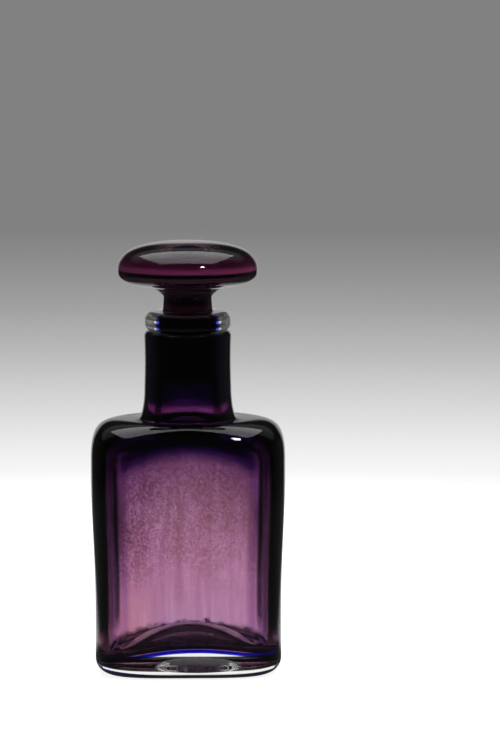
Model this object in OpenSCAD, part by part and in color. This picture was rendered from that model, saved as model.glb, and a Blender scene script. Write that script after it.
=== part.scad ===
// Cased glass bottle with a mushroom stopper.
// The bottle is one bubble of purple glass (lining) gathered over with clear glass (casing).
// The stopper lifts straight out: cap, merese, stem, ring and plug, with a purple core.
// +Z is up, the broad face looks along -Y, and the origin is the middle of the foot.

/* [Body] */
// Width of the body at its widest, under the shoulder
body_w = 111.6; // [92:0.2:135]
// Width of the body just above the foot
foot_w = 107.4; // [90:0.2:130]
// Depth of the body, front to back
body_d = 76; // [63:0.5:92]
// Height of the flat of the shoulder above the table
shoulder_h = 146.8; // [120:0.2:180]
// Squareness of the body's plan: 2 is an ellipse, more is squarer
body_square = 3.9; // [3:0.1:6]
// Height of the rounded edge of the foot
foot_edge_h = 8.8; // [5:0.2:11]
// Width of the rounded edge of the foot
foot_edge_w = 11; // [5:0.2:13]
// Height over which the shoulder's corner turns in
corner_h = 28; // [16:0.2:34]
// Roundness of the shoulder's corner: 2 is round, more is squarer
corner_square = 4; // [2:0.1:5]
// Height of the sweep from the shoulder up to the neck
sweep_h = 18.4; // [8:0.2:24]
// Part of the shoulder's width that the sweep takes
sweep_wide = 0.12; // [0.04:0.02:0.6]
// Part of the shoulder's depth that the sweep takes
sweep_deep = 0.02; // [0:0.02:0.5]
// How soon the plan turns round over the shoulder's corner: 1 is slowly, more is sooner
shoulder_round = 6.5; // [1:0.5:9]
// Height where the sides start to widen
flare_low = 40; // [20:1:60]
// How far under the flat of the shoulder the sides reach their full width
flare_drop = 28.6; // [18:0.2:34]

/* [Neck] */
// Outside diameter of the neck
neck_d = 50; // [41:0.2:60]
// Height of the mouth above the flat of the shoulder
neck_h = 50.8; // [42:0.2:62]
// How much the neck draws in at half its height, on each side
neck_waist = 0.3; // [0:0.1:0.8]
// Radius of the edge round the mouth
rim_r = 3; // [1:0.2:4]

/* [Glass] */
// Thickness of the clear casing in the body's walls
casing_t = 4.8; // [3.5:0.1:6]
// Thickness of the purple lining in the body
lining_t = 1.5; // [1:0.1:2]
// Thickness of the purple lining in the neck
neck_lining_t = 2.3; // [1.5:0.1:3]
// Height of the bubble's floor at its left and right walls
floor_low = 4; // [3:0.2:7]
// Height that the bubble's floor arches up in the middle
floor_rise = 10; // [4:0.2:13]
// Height that the floor leans up towards its right wall
floor_lean = 3.4; // [0:0.2:5]
// Height that the bubble's floor domes up in the middle, over its arch
floor_crown = 9; // [0:0.5:14]
// Height over which the arch of the floor dies out up the walls
floor_fade_h = 60; // [40:1:80]
// Radius of the bubble's edge round its floor
floor_r = 8; // [4:0.5:9]
// Height over which the bubble's shoulder turns in
bubble_corner_h = 25; // [18:0.5:30]
// Width of the flat that it stands on, in front of the hollow under the foot
foot_land = 2; // [1:0.2:8]
// Depth of the hollow under the foot
kick_h = 6.6; // [2:0.2:9]
// Fullness of the hollow's outline: 2 is an ellipse, more is squarer
kick_square = 3.4; // [2:0.1:5]
// How far right of the middle the hollow lies
kick_shift = 5; // [0:0.5:8]

/* [Stopper] */
// Diameter of the cap
cap_d = 80.8; // [68:0.2:97]
// Height of the cap above its widest line
cap_rise = 16.9; // [12:0.1:22]
// Drop of the cap's underside below its widest line
cap_drop = 10.2; // [8:0.1:14]
// Fullness of the cap's outline: 2 is an ellipse, more is squarer
cap_square = 2.55; // [2:0.05:3]
// Flat margin of the cap's underside outside the merese
seat_margin = 1; // [0.5:0.1:2]
// Top diameter of the merese, the clear flare under the cap
merese_d = 37.2; // [33:0.2:42]
// Height of the merese
merese_h = 5.2; // [4:0.1:8]
// Number of steps down the merese
merese_steps = 4; // [2:1:5]
// Hollowness of the merese's flare: 1 is straight
merese_hollow = 1.6; // [1:0.1:2.5]
// Diameter of the stem at its foot
stem_d = 28.8; // [25:0.2:30]
// Diameter of the stem under the merese
stem_top_d = 27.6; // [25:0.2:30]
// Height of the stem between the merese and the ring
stem_h = 8.4; // [5:0.1:14]
// Outside diameter of the ring at the foot of the stem
ring_d = 49.4; // [44:0.2:58]
// Height of the ring
ring_h = 11; // [8:0.1:14]
// Radius of the ring's top edge
ring_top_r = 4.6; // [2:0.1:4.8]
// Radius of the ring's bottom edge
ring_low_r = 3.4; // [1:0.1:3.8]
// Diameter of the purple core
core_d = 22; // [18:0.2:26.4]
// Diameter of the ground plug at the mouth
plug_d = 30.6; // [25:0.2:37]
// How much narrower the plug is at its lower end
plug_taper = 0.8; // [0:0.1:1.4]
// Length of the plug below the ring
plug_l = 31.5; // [24:0.5:38]
// Radius of the edge round the plug's lower end
plug_edge_r = 1.2; // [0.5:0.1:2]
// Clear glass under the core at the plug's lower end
plug_end_t = 3; // [2:0.5:5]

/* [Fit] */
// Clearance between the plug and the neck at the mouth, on each side
plug_gap = 0.08; // [0.02:0.02:0.1]

/* [Hidden] */

clear_glass = [0.86, 0.88, 0.86, 0.45];
purple_glass = [0.36, 0.16, 0.46];
plum_glass = [0.30, 0.06, 0.24];

round_fn = 96;
sides = 48;
foot_steps = 5;
wall_steps = 8;
corner_steps = 10;
sweep_steps = 7;
floor_steps = 8;
cap_steps = 14;
edge_steps = 6;
kick_steps = 10;
through = 1;
// A loft ends this much wider than the round part that carries on from it
collar = 0.3;
neck_steps = 8;

bore_r = plug_d / 2 + plug_gap;
lining_neck_r = bore_r + neck_lining_t;
neck_r = neck_d / 2;
mouth_z = shoulder_h + neck_h;
sweep_top_z = shoulder_h + sweep_h;
bubble_t = casing_t + lining_t;

ring_top_z = mouth_z + ring_h;
stem_top_z = ring_top_z + stem_h;
cap_seat_z = stem_top_z + merese_h;
plug_end_z = mouth_z - plug_l;

// Places on a rounded outline, with full reach at 0 and 90 degrees
function bulge(v, square) = sign(v) * pow(abs(v), 2 / square);
function ease(t) = t <= 0 ? 0 : t >= 1 ? 1 : t * t * (3 - 2 * t);
function half_w(z) = (foot_w
    + (body_w - foot_w) * ease((z - flare_low) / (shoulder_h - flare_drop - flare_low))) / 2;

// A level of a loft: [height, half width, half depth, squareness, arch]
function level(z, a, b, square, arch = 0) = [z, a, b, square, arch];
function outline(l) = [for (i = [0 : sides - 1])
    let (t = 360 * i / sides, x = l[1] * bulge(cos(t), l[3]))
    [x, l[2] * bulge(sin(t), l[3]), l[0] + l[4] * floor_shape(x)]];
// How far the bubble's floor stands above its left wall, as a share of 1 where its arch is whole
function floor_shape(x) = floor_rise * (1 - pow(2 * x / foot_w, 2)) + floor_lean * (1 + 2 * x / foot_w) / 2;
function fade(z, edge_z, arch) = arch * (1 - ease((z - edge_z) / floor_fade_h));

// A level between the round neck (shares of 0) and the body's plan (shares of 1)
function shoulder_level(z, wide, deep, inset, round_r) = level(z,
    round_r + (half_w(shoulder_h) - inset - round_r) * wide,
    round_r + (body_d / 2 - inset - round_r) * deep,
    2 + (body_square - 2) * pow(deep, shoulder_round));

// Levels from the foot or floor edge up to the neck, a given inset inside the outside of the body
function side_levels(inset, edge_z, edge_h, edge_w, corner, flat_z, top_z, round_r, arch = 0) = concat(
    [for (i = [0 : foot_steps])
        let (t = 90 * i / foot_steps, in = inset + edge_w * (1 - sin(t)), z = edge_z + edge_h * (1 - cos(t)))
        level(z, foot_w / 2 - in, body_d / 2 - in, body_square, fade(z, edge_z, arch))],
    [for (i = [1 : wall_steps])
        let (low = edge_z + edge_h, z = low + (flat_z - corner - low) * i / wall_steps)
        level(z, half_w(z) - inset, body_d / 2 - inset, body_square, fade(z, edge_z, arch))],
    [for (i = [1 : corner_steps])
        let (t = 90 * i / corner_steps, out = bulge(cos(t), corner_square))
        shoulder_level(flat_z - corner + corner * bulge(sin(t), corner_square),
            sweep_wide + (1 - sweep_wide) * out, sweep_deep + (1 - sweep_deep) * out, inset, round_r)],
    [for (i = [1 : sweep_steps])
        let (t = 90 * i / sweep_steps, left = 1 - sin(t))
        shoulder_level(flat_z + (top_z - flat_z) * (1 - cos(t)),
            sweep_wide * left, sweep_deep * left, inset, round_r)]);

// Levels of the bubble's floor inside its edge, middle first
function floor_levels(inset, edge_z, edge_r) = [for (i = [1 : floor_steps - 1])
    let (t = i / floor_steps, in = inset + edge_r)
    level(edge_z + floor_crown * (1 - t * t), (foot_w / 2 - in) * t, (body_d / 2 - in) * t, body_square, 1)];

module loft(levels, bottom_z) {
    count = len(levels);
    points = concat([for (l = levels) each outline(l)], [[0, 0, bottom_z]]);
    hub = count * sides;
    faces = concat(
        [for (k = [0 : count - 2], i = [0 : sides - 1])
            let (j = (i + 1) % sides)
            each [[k * sides + i, (k + 1) * sides + i, (k + 1) * sides + j],
                [k * sides + i, (k + 1) * sides + j, k * sides + j]]],
        [for (i = [0 : sides - 1]) [hub, i, (i + 1) % sides]],
        [[for (i = [sides - 1 : -1 : 0]) (count - 1) * sides + i]]);
    polyhedron(points = points, faces = faces);
}

// The space inside a layer: the bubble's floor, walls and shoulder, and the round neck above it
module bubble(inset, round_r) {
    floor_z = floor_low + inset - casing_t;
    flat_z = shoulder_h - inset;
    loft(concat(floor_levels(inset, floor_z, floor_r),
        side_levels(inset, floor_z, floor_r, floor_r, bubble_corner_h, flat_z,
            sweep_top_z, round_r + collar, 1)),
        floor_z + floor_crown + floor_shape(0));
    translate([0, 0, flat_z]) cylinder(h = mouth_z + through - flat_z, r = round_r, $fn = round_fn);
}

module neck_outside() {
    side_top_z = mouth_z - rim_r;
    rotate_extrude($fn = round_fn) polygon(concat(
        [[0, shoulder_h], [neck_r, shoulder_h]],
        [for (i = [0 : neck_steps - 1])
            let (t = i / neck_steps)
            [neck_r - neck_waist * sin(180 * t), sweep_top_z + (side_top_z - sweep_top_z) * t]],
        [for (i = [0 : edge_steps])
            let (t = 90 * i / edge_steps)
            [neck_r - rim_r * (1 - cos(t)), mouth_z - rim_r * (1 - sin(t))]],
        [[0, mouth_z]]));
}

// The shallow round hollow under the foot
module kick() {
    kick_r = body_d / 2 - foot_edge_w - foot_land;
    translate([kick_shift, 0, 0]) rotate_extrude($fn = round_fn) polygon(concat(
        [[0, -through], [kick_r, -through]],
        [for (i = [0 : kick_steps - 1])
            let (t = 90 * i / kick_steps)
            [kick_r * bulge(cos(t), kick_square), kick_h * bulge(sin(t), kick_square)]],
        [[0, kick_h]]));
}

module casing() {
    color(clear_glass) difference() {
        union() {
            loft(side_levels(0, 0, foot_edge_h, foot_edge_w, corner_h, shoulder_h,
                sweep_top_z, neck_r + collar), 0);
            neck_outside();
        }
        bubble(casing_t, lining_neck_r);
        kick();
    }
}

module lining() {
    color(purple_glass) difference() {
        intersection() {
            bubble(casing_t, lining_neck_r);
            translate([-body_w, -body_w, 0]) cube([2 * body_w, 2 * body_w, mouth_z]);
        }
        bubble(bubble_t, bore_r);
    }
}

module stopper_head() {
    cap_r = cap_d / 2;
    seat_r = merese_d / 2 + seat_margin;
    seat_share = pow(1 - pow(seat_r / cap_r, cap_square), 1 / cap_square);
    wide_z = cap_seat_z + cap_drop * seat_share;
    start = -acos(pow(seat_r / cap_r, cap_square / 2));
    color(plum_glass) rotate_extrude($fn = round_fn) polygon(concat(
        [[0, cap_seat_z]],
        [for (i = [0 : cap_steps])
            let (t = start * (1 - i / cap_steps))
            [cap_r * bulge(cos(t), cap_square), wide_z + cap_drop * bulge(sin(t), cap_square)]],
        [for (i = [1 : cap_steps - 1])
            let (t = 90 * i / cap_steps)
            [cap_r * bulge(cos(t), cap_square), wide_z + cap_rise * bulge(sin(t), cap_square)]],
        [[0, wide_z + cap_rise]]));
}

// Round-nosed steps, each narrower than the one above
module stopper_merese() {
    nose = merese_h / merese_steps / 2;
    color(clear_glass) rotate_extrude($fn = round_fn) polygon(concat(
        [[core_d / 2, stem_top_z]],
        [for (k = [0 : merese_steps - 1], i = [0 : edge_steps])
            let (t = 180 * i / edge_steps - 90,
                flare = (merese_d - stem_top_d) / 2 * pow((k + 1) / merese_steps, merese_hollow))
            [stem_top_d / 2 + flare - nose * (1 - cos(t)), stem_top_z + nose * (2 * k + 1 + sin(t))]],
        [[core_d / 2, cap_seat_z]]));
}

module stopper_core() {
    core_low_z = plug_end_z + plug_end_t;
    color(purple_glass) translate([0, 0, core_low_z])
        cylinder(h = cap_seat_z - core_low_z, d = core_d, $fn = round_fn);
}

// Clear glass over the core: the stem above the ring and the ground plug below it
module stopper_sleeve() {
    plug_r = plug_d / 2;
    plug_low_r = plug_r - plug_taper / 2;
    color(clear_glass) rotate_extrude($fn = round_fn) polygon(concat(
        [[0, plug_end_z]],
        [for (i = [0 : edge_steps])
            let (t = 90 * i / edge_steps)
            [plug_low_r - plug_edge_r * (1 - sin(t)), plug_end_z + plug_edge_r * (1 - cos(t))]],
        [[plug_r, mouth_z], [stem_d / 2, mouth_z], [stem_d / 2, ring_top_z], [stem_top_d / 2, stem_top_z]],
        [[core_d / 2, stem_top_z], [core_d / 2, plug_end_z + plug_end_t], [0, plug_end_z + plug_end_t]]));
}

// A corner of the ring's outline: centre, radius and first angle
function ring_corner(x, z, r, first) = [for (i = [0 : edge_steps])
    let (t = first + 90 * i / edge_steps)
    [x + r * cos(t), z + r * sin(t)]];

module stopper_ring() {
    ring_r = ring_d / 2;
    color(clear_glass) rotate_extrude($fn = round_fn) polygon(concat(
        [[stem_d / 2, mouth_z]],
        ring_corner(ring_r - ring_low_r, mouth_z + ring_low_r, ring_low_r, -90),
        ring_corner(ring_r - ring_top_r, ring_top_z - ring_top_r, ring_top_r, 0),
        [[stem_d / 2, ring_top_z]]));
}

casing();
lining();
stopper_head();
stopper_merese();
stopper_core();
stopper_sleeve();
stopper_ring();
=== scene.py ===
"""Looks of a stoppered cased-glass bottle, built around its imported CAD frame.

Clear glass is one refracting skin for the bottle and one for the stopper. The coloured
glasses lie inside those skins as bodies that tint light and don't bend it, as fused glass does.
All lengths are in metres, +Z is up, and the broad front looks along -Y.
"""

import math

import bpy
from bpy.props import FloatProperty, FloatVectorProperty, IntProperty, PointerProperty
from bpy.types import Operator, Panel, PropertyGroup
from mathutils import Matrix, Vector


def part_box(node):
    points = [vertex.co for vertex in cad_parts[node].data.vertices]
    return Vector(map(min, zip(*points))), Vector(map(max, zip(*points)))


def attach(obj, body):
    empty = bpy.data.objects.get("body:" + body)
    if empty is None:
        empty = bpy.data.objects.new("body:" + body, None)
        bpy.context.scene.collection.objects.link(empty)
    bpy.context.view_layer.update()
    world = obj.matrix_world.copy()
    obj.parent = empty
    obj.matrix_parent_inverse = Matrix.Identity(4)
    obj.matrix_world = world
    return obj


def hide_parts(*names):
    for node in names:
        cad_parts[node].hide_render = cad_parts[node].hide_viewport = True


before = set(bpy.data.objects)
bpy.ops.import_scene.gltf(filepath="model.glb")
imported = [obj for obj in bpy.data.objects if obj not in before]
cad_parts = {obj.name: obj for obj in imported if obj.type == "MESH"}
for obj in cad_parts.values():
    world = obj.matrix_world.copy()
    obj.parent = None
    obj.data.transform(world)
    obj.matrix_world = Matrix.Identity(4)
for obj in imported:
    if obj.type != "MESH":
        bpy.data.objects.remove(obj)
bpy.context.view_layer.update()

bl_info = {
    "name": "Cased glass bottle",
    "version": (1, 0, 0),
    "blender": (4, 5, 0),
    "location": "View3D > Sidebar > Glass bottle",
    "description": "Makes a square cased-glass bottle with a mushroom stopper",
    "category": "Add Mesh",
}

CASING_LOW, CASING_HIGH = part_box("casing")
CAP_LOW, CAP_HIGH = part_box("stopper_head")
RING_LOW, RING_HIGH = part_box("stopper_ring")

# How far apart fused or touching surfaces are drawn, so that light meets them one at a time
FILM = 0.00005
WHITE = (1.0, 1.0, 1.0)
# Points round the body and round turned pieces, and the squareness of a round level
AROUND, TURNED, ROUND = 256, 192, 2.0
# Levels of the body's loft, from the hollow under the foot up to the mouth
KICK_LEVELS, LAND_LEVELS, EDGE_LEVELS, SIDE_LEVELS, CORNER_LEVELS, SWEEP_LEVELS = 24, 5, 12, 30, 28, 20
NECK_LEVELS, RIM_LEVELS, BORE_EDGE_LEVELS = 16, 10, 6
# Levels of the bubble's floor and bore, of its crust's reach and of the blue halo
FLOOR_LEVELS, BORE_LEVELS, CRUST_LEVELS, HALO_LEVELS = 16, 8, 24, 5
# Points on the stopper's outline, from the plug's end up to the cap
END_POINTS, SIDE_POINTS, RING_LOW_POINTS, RING_TOP_POINTS, FILLET_POINTS = 6, 8, 12, 14, 6
STEM_POINTS, NOSE_POINTS, CAP_LOW_POINTS, CAP_TOP_POINTS, CAP_ROWS = 5, 8, 26, 60, 121
CORE_END_POINTS, CORE_SIDE_POINTS = 4, 12
# How much of the plug's and of the core's end the rings of its flat take up
END_FLAT, CORE_FLAT = 0.9, 0.8


def length(name, metres, text):
    """A size in metres."""
    return FloatProperty(
        name=name, description=text, default=metres, min=0.0,
        precision=4, unit="LENGTH", subtype="DISTANCE",
    )


def share(name, value, text, high=1.0):
    """A plain number from 0 up."""
    return FloatProperty(name=name, description=text, default=value, min=0.0, max=high)


def colour(name, value, text):
    """A colour of glass or of what lies on it."""
    return FloatVectorProperty(
        name=name, description=text, default=value, size=3, min=0.0, max=1.0, subtype="COLOR",
    )


class BottleSizes(PropertyGroup):
    body_w: length("Body width", CASING_HIGH.x - CASING_LOW.x, "Widest, under the shoulder")
    foot_w: length("Foot width", 0.1074, "Width just above the foot")
    body_d: length("Body depth", CASING_HIGH.y - CASING_LOW.y, "Front to back")
    shoulder_h: length("Shoulder height", 0.1468, "Height of the flat of the shoulder")
    body_square: share("Body squareness", 3.9, "2 is an ellipse, more is squarer", 8.0)
    foot_h: length("Foot edge height", 0.0088, "Height of the rounded edge of the foot")
    foot_reach: length("Foot edge width", 0.011, "Width of the rounded edge of the foot")
    corner_h: length("Shoulder corner", 0.028, "Height over which the shoulder turns in")
    corner_square: share("Corner squareness", 4.0, "2 is round, more is squarer", 8.0)
    sweep_h: length("Sweep height", 0.0184, "Height of the sweep up to the neck")
    sweep_wide: share("Sweep width", 0.12, "Part of the shoulder's width that the sweep takes")
    sweep_deep: share("Sweep depth", 0.02, "Part of the shoulder's depth that the sweep takes")
    shoulder_round: share("Shoulder roundness", 6.5, "How soon the plan turns round", 8.0)
    flare_low: length("Flare start", 0.040, "Height where the sides start to widen")
    flare_drop: length("Flare end", 0.0286, "How far under the shoulder the sides are widest")
    neck_d: length("Neck diameter", 0.050, "Outside diameter of the neck")
    neck_waist: length("Neck waist", 0.0003, "How much the neck draws in at half its height")
    rim_r: length("Rim edge", 0.003, "Radius of the edge round the mouth")
    mouth_h: length("Mouth height", CASING_HIGH.z, "Height of the mouth above the table")
    bore_r: length("Bore radius", 0.01538, "Radius of the ground bore of the neck")
    bore_edge: length("Bore edge", 0.0005, "Radius of the edge between the mouth and the bore")
    casing_t: length("Casing thickness", 0.0048, "Clear glass over the purple")
    lining_t: length("Lining thickness", 0.0015, "Purple glass in the body")
    neck_lining_t: length("Neck lining", 0.0023, "Purple glass in the neck")
    lining_end: length("Lining end", 0.001, "How far under the mouth the purple ends")
    floor_low: length("Floor height", 0.004, "Bubble's floor at its left and right walls")
    floor_rise: length("Floor arch", 0.010, "How high the floor arches in the middle")
    floor_lean: length("Floor lean", 0.0034, "How high the floor leans up to the right")
    floor_crown: length("Floor crown", 0.009, "How high the floor domes up over its arch")
    floor_fade_h: length("Arch fade", 0.060, "Height over which the arch dies out")
    floor_r: length("Floor edge", 0.008, "Radius of the bubble's edge round its floor")
    bubble_corner_h: length("Bubble corner", 0.025, "Height over which the bubble turns in")
    halo_t: length("Blue halo", 0.0007, "Thickness of the blue under the purple's lower edge")
    foot_land: length("Foot land", 0.002, "Flat that it stands on, in front of the hollow")
    kick_h: length("Kick", 0.0066, "Depth of the hollow under the foot")
    kick_shift: length("Kick shift", 0.005, "How far right of the middle the hollow lies")
    kick_square: share("Kick fullness", 3.4, "2 is an ellipse, more is squarer", 8.0)


class StopperSizes(PropertyGroup):
    cap_d: length("Cap diameter", CAP_HIGH.x - CAP_LOW.x, "Diameter of the cap")
    cap_rise: length("Cap rise", 0.0169, "Height above the widest line")
    cap_drop: length("Cap drop", 0.0102, "Drop of the underside below the widest line")
    cap_square: share("Cap fullness", 2.55, "2 is an ellipse, more is squarer", 8.0)
    cap_seat_h: length("Cap seat height", CAP_LOW.z, "Height of the cap's underside")
    seat_margin: length("Seat margin", 0.001, "Flat of the underside outside the merese")
    merese_d: length("Merese diameter", 0.0372, "Top of the clear flare under the cap")
    merese_h: length("Merese height", 0.0052, "Height of the flare")
    merese_steps: IntProperty(
        name="Merese steps", description="Round-nosed steps down the flare", default=4, min=1
    )
    merese_hollow: share("Merese hollow", 1.6, "1 is straight", 4.0)
    stem_d: length("Stem foot", 0.0288, "Diameter of the stem at its foot")
    stem_top_d: length("Stem top", 0.0276, "Diameter of the stem under the merese")
    stem_fillet: length("Stem fillet", 0.0008, "Radius between the ring and the stem")
    ring_d: length("Ring diameter", RING_HIGH.x - RING_LOW.x, "Ring at the foot of the stem")
    ring_h: length("Ring height", RING_HIGH.z - RING_LOW.z, "Height of the ring")
    ring_top_r: length("Ring top edge", 0.0046, "Radius of the top edge")
    ring_low_r: length("Ring low edge", 0.0034, "Radius of the bottom edge")
    core_d: length("Core diameter", 0.022, "Diameter of the purple core")
    core_halo_t: length("Core halo", 0.0012, "Thickness of the blue round the core")
    core_edge_r: length("Core edge", 0.002, "Radius of the edge round the core's lower end")
    plug_d: length("Plug diameter", 0.0306, "Ground plug at the mouth")
    plug_taper: length("Plug taper", 0.0008, "How much narrower its lower end is")
    plug_l: length("Plug length", 0.0315, "Length below the ring")
    plug_edge_r: length("Plug edge", 0.0012, "Radius of the edge round the lower end")
    plug_end_t: length("Plug end", 0.003, "Clear glass under the core")
    seat_notch: length("Seat notch", 0.0004, "Soft corner between the plug and the ring")


class GlassColours(PropertyGroup):
    clear: colour("Clear glass", (0.97, 0.975, 0.95), "Clear glass, a little grey-yellow")
    purple: colour("Purple glass", (0.64, 0.20, 0.50), "Light that the purple lets through")
    plum: colour("Plum glass", (0.56, 0.34, 0.50), "Light that the cap lets through")
    cobalt: colour("Cobalt edge", (0.14, 0.17, 0.86), "Purple glass where it thins out")
    residue: colour("Residue", (0.80, 0.74, 0.66), "Dried film on the bubble's walls")
    clear_depth: share("Clear depth", 22.0, "Absorption of the clear per metre", 5000.0)
    purple_depth: share("Purple depth", 200.0, "Absorption of the purple per metre", 5000.0)
    plum_depth: share("Plum depth", 50.0, "Absorption of the plum per metre", 5000.0)
    core_depth: share("Core depth", 800.0, "Absorption of the core per metre", 5000.0)
    halo_depth: share("Halo depth", 20.0, "Absorption of the blue under the purple", 5000.0)
    ring_depth: share("Ring halo depth", 330.0, "Absorption of the blue in the ring", 5000.0)


class StudioSettings(PropertyGroup):
    distance: length("Distance", 1.731, "Camera to the middle of the bottle")
    aim_h: length("Aim height", 0.125, "Height of the middle of the bottle")
    elevation: share("Elevation", 8.9, "Camera above the bottle, in degrees", 90.0)
    lens: share("Lens", 144.0, "Focal length in millimetres", 500.0)
    softbox: share("Softbox", 1.7, "Brightness of the softbox beside white", 50.0)
    lamp: share("Lamp", 60.0, "Brightness of the small lamp beside white", 500.0)
    right_card: share("Right card", 0.2, "Brightness of the card on the right")
    left_card: share("Left card", 0.1, "Brightness of the card on the left")
    upper_grey: share("Upper background", 0.16, "Brightness of the background high behind")
    around: share("Surroundings", 0.025, "Brightness of the dark studio beside white")
    fill: share("Fill", 0.1, "Light from all round that falls on things")
    table_glow: share("Table glow", 0.87, "Own light of the white table")


def bulge(value, square):
    """A place on a rounded outline, with full reach at 1 and -1."""
    return math.copysign(abs(value) ** (2 / square), value)


def ease(t):
    """A smooth run from 0 to 1."""
    t = min(max(t, 0.0), 1.0)
    return t * t * (3 - 2 * t)


def mid(a, b, t):
    """A share of the way from one value to another."""
    return a + (b - a) * t


def steps(count, first=1):
    """The shares of a whole at the end of each of several steps."""
    return [i / count for i in range(first, count + 1)]


def quarter(count, first=1):
    """The same as angles of a quarter turn."""
    return [t * math.pi / 2 for t in steps(count, first)]


def outline(s, z, a, b, square, arch=0.0, shift=0.0):
    """One level of a loft as a closed line of points."""
    points = []
    for i in range(AROUND):
        turn = 2 * math.pi * i / AROUND
        x, y = a * bulge(math.cos(turn), square), b * bulge(math.sin(turn), square)
        points.append((x + shift, y, z + arch * floor_shape(s, x)))
    return points


def floor_shape(s, x):
    """How far the bubble's floor stands above its left wall."""
    side = 2 * x / s.foot_w
    return s.floor_rise * (1 - side * side) + s.floor_lean * (1 + side) / 2


def half_w(s, z):
    """Half the body's width at a height."""
    wide_z = s.shoulder_h - s.flare_drop
    return mid(s.foot_w, s.body_w, ease((z - s.flare_low) / (wide_z - s.flare_low))) / 2


def shoulder_level(s, z, wide, deep, inset, round_r):
    """A level between the round neck (shares of 0) and the body's plan (shares of 1)."""
    return (
        z,
        mid(round_r, half_w(s, s.shoulder_h) - inset, wide),
        mid(round_r, s.body_d / 2 - inset, deep),
        mid(ROUND, s.body_square, deep**s.shoulder_round),
        0.0,
    )


def side_levels(s, inset, edge_z, edge_h, edge_w, corner, flat_z, round_r, arch=0.0):
    """Levels from the foot or floor edge up to the neck, a given inset inside the body."""
    top_z = s.shoulder_h + s.sweep_h

    def fade(z):
        return arch * (1 - ease((z - edge_z) / s.floor_fade_h))

    levels = []
    for turn in quarter(EDGE_LEVELS, 0):
        inward = inset + edge_w * (1 - math.sin(turn))
        z = edge_z + edge_h * (1 - math.cos(turn))
        levels.append((z, s.foot_w / 2 - inward, s.body_d / 2 - inward, s.body_square, fade(z)))
    low = edge_z + edge_h
    for t in steps(SIDE_LEVELS):
        z = mid(low, flat_z - corner, t)
        levels.append((z, half_w(s, z) - inset, s.body_d / 2 - inset, s.body_square, fade(z)))
    for turn in quarter(CORNER_LEVELS):
        out = bulge(math.cos(turn), s.corner_square)
        wide, deep = mid(s.sweep_wide, 1, out), mid(s.sweep_deep, 1, out)
        z = mid(flat_z - corner, flat_z, bulge(math.sin(turn), s.corner_square))
        levels.append(shoulder_level(s, z, wide, deep, inset, round_r))
    for turn in quarter(SWEEP_LEVELS):
        z, left = mid(flat_z, top_z, 1 - math.cos(turn)), 1 - math.sin(turn)
        wide, deep = s.sweep_wide * left, s.sweep_deep * left
        levels.append(shoulder_level(s, z, wide, deep, inset, round_r))
    return levels


def circle(z, r):
    """A round level of a loft."""
    return (z, r, r, ROUND, 0.0)


def bubble_levels(s, inset, round_r, mouth_z):
    """The space inside a layer, from the middle of its floor up to the mouth."""
    floor_z = s.floor_low + inset - s.casing_t
    edge = inset + s.floor_r
    floor = [
        (floor_z + s.floor_crown * (1 - t * t), (s.foot_w / 2 - edge) * t,
         (s.body_d / 2 - edge) * t, s.body_square, 1.0)
        for t in steps(FLOOR_LEVELS)[:-1]
    ]
    sides = side_levels(
        s, inset, floor_z, s.floor_r, s.floor_r, s.bubble_corner_h, s.shoulder_h - inset,
        round_r, 1.0
    )
    top_z = s.shoulder_h + s.sweep_h
    neck = [circle(mid(top_z, mouth_z, t), round_r) for t in steps(BORE_LEVELS)]
    return floor + sides + neck


def kick_radius(s):
    """The radius of the hollow under the foot."""
    return s.body_d / 2 - s.foot_reach - s.foot_land


def foot_levels(s):
    """The hollow under the foot and the land round it."""
    kick_r = kick_radius(s)
    land_a, land_b = s.foot_w / 2 - s.foot_reach, s.body_d / 2 - s.foot_reach
    hollow = []
    for turn in quarter(KICK_LEVELS):
        r = kick_r * bulge(math.sin(turn), s.kick_square)
        z = s.kick_h * bulge(math.cos(turn), s.kick_square)
        hollow.append((z, r, r, ROUND, 0.0, s.kick_shift))
    land = [
        (0.0, mid(kick_r, land_a, t), mid(kick_r, land_b, t), mid(ROUND, s.body_square, t), 0.0,
         s.kick_shift * (1 - t))
        for t in steps(LAND_LEVELS)[:-1]
    ]
    return hollow + land


def neck_levels(s):
    """The outside of the neck, its rim and the flat of the mouth in to the bore's edge."""
    neck_r, low = s.neck_d / 2, s.shoulder_h + s.sweep_h
    side = [
        circle(mid(low, s.mouth_h - s.rim_r, t), neck_r - s.neck_waist * math.sin(math.pi * t))
        for t in steps(NECK_LEVELS)
    ]
    rim = arc(neck_r - s.rim_r, s.mouth_h - s.rim_r, s.rim_r, 0.0, RIM_LEVELS)[1:]
    bore = arc(s.bore_r + s.bore_edge, s.mouth_h - s.bore_edge, s.bore_edge, math.pi / 2,
               BORE_EDGE_LEVELS)[:-1]
    return side + [circle(z, r) for r, z in rim + bore]


def put_on(s, levels):
    """The points of a loft's levels."""
    return [outline(s, *level) for level in levels]


def strips(rings, first=0, closed=False):
    """Faces between each ring of points and the next, looking outwards."""
    count = len(rings[0])
    faces = []
    for k in range(len(rings) if closed else len(rings) - 1):
        low, high = first + k * count, first + (k + 1) % len(rings) * count
        faces += [
            (low + i, low + (i + 1) % count, high + (i + 1) % count, high + i)
            for i in range(count)
        ]
    return faces


def skin(name, rings, first, last, material):
    """A closed mesh from rings of points, a point at each end, and faces that look outwards."""
    count = len(rings[0])
    verts = [first] + [p for ring in rings for p in ring] + [last]
    top, end = 1 + (len(rings) - 1) * count, len(verts) - 1
    faces = [(0, 1 + (i + 1) % count, 1 + i) for i in range(count)]
    faces += strips(rings, 1)
    faces += [(top + i, top + (i + 1) % count, end) for i in range(count)]
    return solid(name, verts, faces, material)


def in_scene(name, data):
    """A new object in the scene."""
    thing = bpy.data.objects.new(name, data)
    bpy.context.scene.collection.objects.link(thing)
    return thing


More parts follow.
